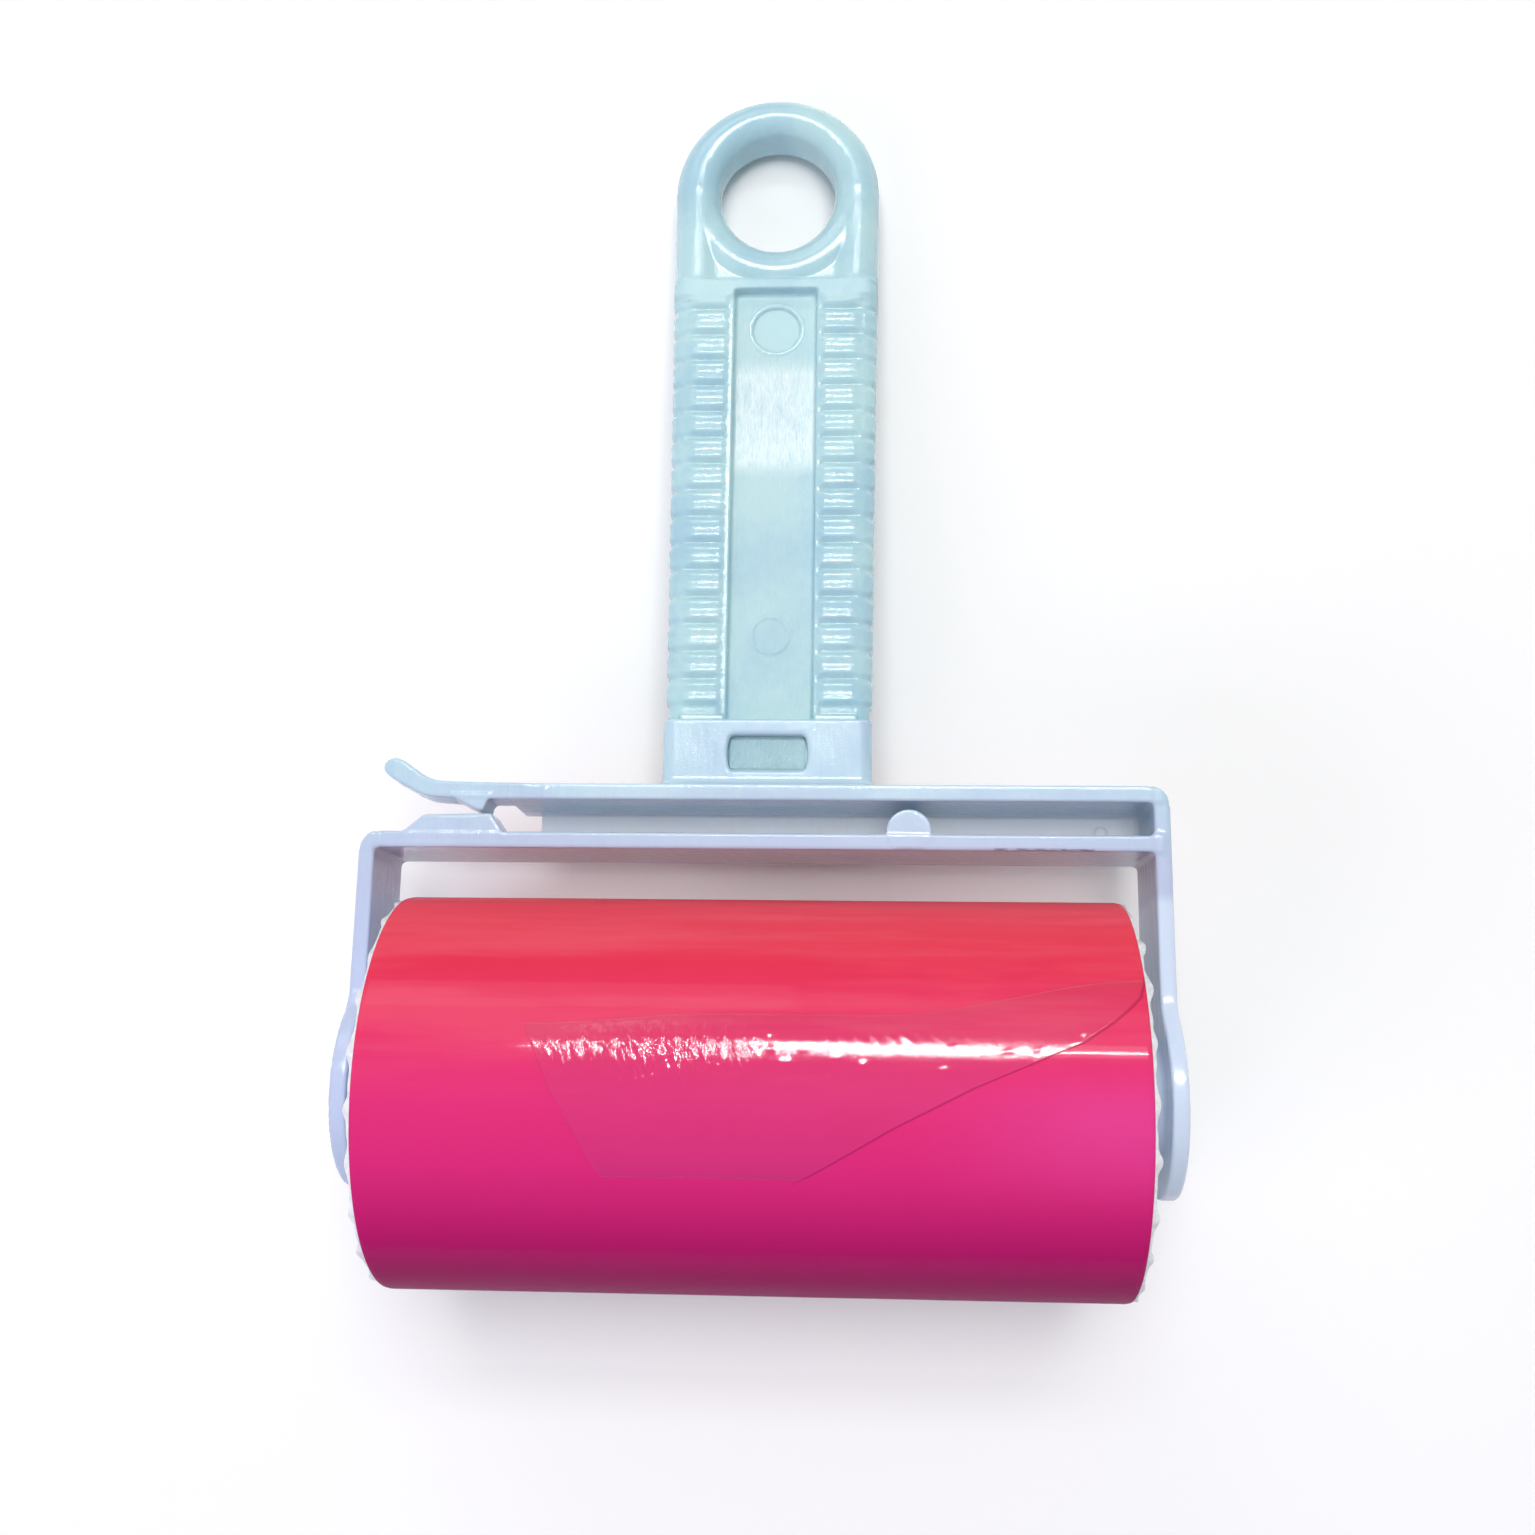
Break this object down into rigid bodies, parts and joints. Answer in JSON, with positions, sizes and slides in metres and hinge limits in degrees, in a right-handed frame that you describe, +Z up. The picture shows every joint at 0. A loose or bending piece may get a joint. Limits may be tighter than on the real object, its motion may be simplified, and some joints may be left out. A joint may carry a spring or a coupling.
{
  "type": "lint roller",
  "caption": "Refillable lint roller: ribbed handle with a hanging ring, C-shaped frame with a swing-out arm and thumb lever, and a turning roll of adhesive sheets.",
  "frame": {"origin": "middle of the footprint, on the table that the roll and the ring's tip rest on", "axes": "+X along the roll towards the fixed arm, +Y along the handle towards the hanging ring, +Z up from the table"},
  "size_m": [0.114, 0.1796, 0.0544],
  "materials": {
    "handle_plastic": "glossy translucent pale blue polypropylene",
    "frame_plastic": "satin translucent pale blue polypropylene",
    "plug_plastic": "matt white moulded plastic",
    "core_board": "spiral wound grey-brown board",
    "sheet_paper": "white adhesive paper",
    "outer_gloss": "glossy coral to magenta coated sheet",
    "clear_film": "clear glossy release film over the sheet"
  },
  "bodies": {
    "frame": {"handle_grip": "handle_plastic", "frame_collar": "frame_plastic", "frame_beam": "frame_plastic", "right_arm": "frame_plastic", "right_pivot": "frame_plastic"},
    "roll": {"end_plug_left": "plug_plastic", "end_plug_right": "plug_plastic", "core_tube": "core_board", "sheet_stack": "sheet_paper", "outer_sheet": "outer_gloss", "peel_film": "clear_film"},
    "swing_arm": {"left_arm": "frame_plastic", "left_pivot": "frame_plastic"},
    "lever": {"latch_lever": "frame_plastic"},
    "tongue": {"snap_tongue": "handle_plastic"}
  },
  "joints": [
    {"name": "roll_spin", "type": "hinge", "parent": "frame", "child": "roll", "pos_m": [0, -0.06265, 0.0271], "axis": [1, 0, 0], "continuous": true},
    {"name": "arm_swing", "type": "hinge", "parent": "frame", "child": "swing_arm", "pos_m": [-0.0343, -0.02839, 0.02188], "axis": [0, -0.1507, -0.9886], "range_deg": [0, 10], "stiffness_Nm_per_rad": 0.1},
    {"name": "lever_lift", "type": "hinge", "parent": "frame", "child": "lever", "pos_m": [-0.0343, -0.02081, 0.02517], "axis": [0, -0.1507, -0.9886], "range_deg": [0, 13], "stiffness_Nm_per_rad": 0.01},
    {"name": "tongue_press", "type": "slide", "parent": "frame", "child": "tongue", "axis": [0, -0.1507, -0.9886], "range_m": [0, 0.0011], "stiffness_N_per_m": 100}
  ],
  "couplings": [
    {"joint": "lever_lift", "follows": "arm_swing", "ratio": 1.3}
  ]
}
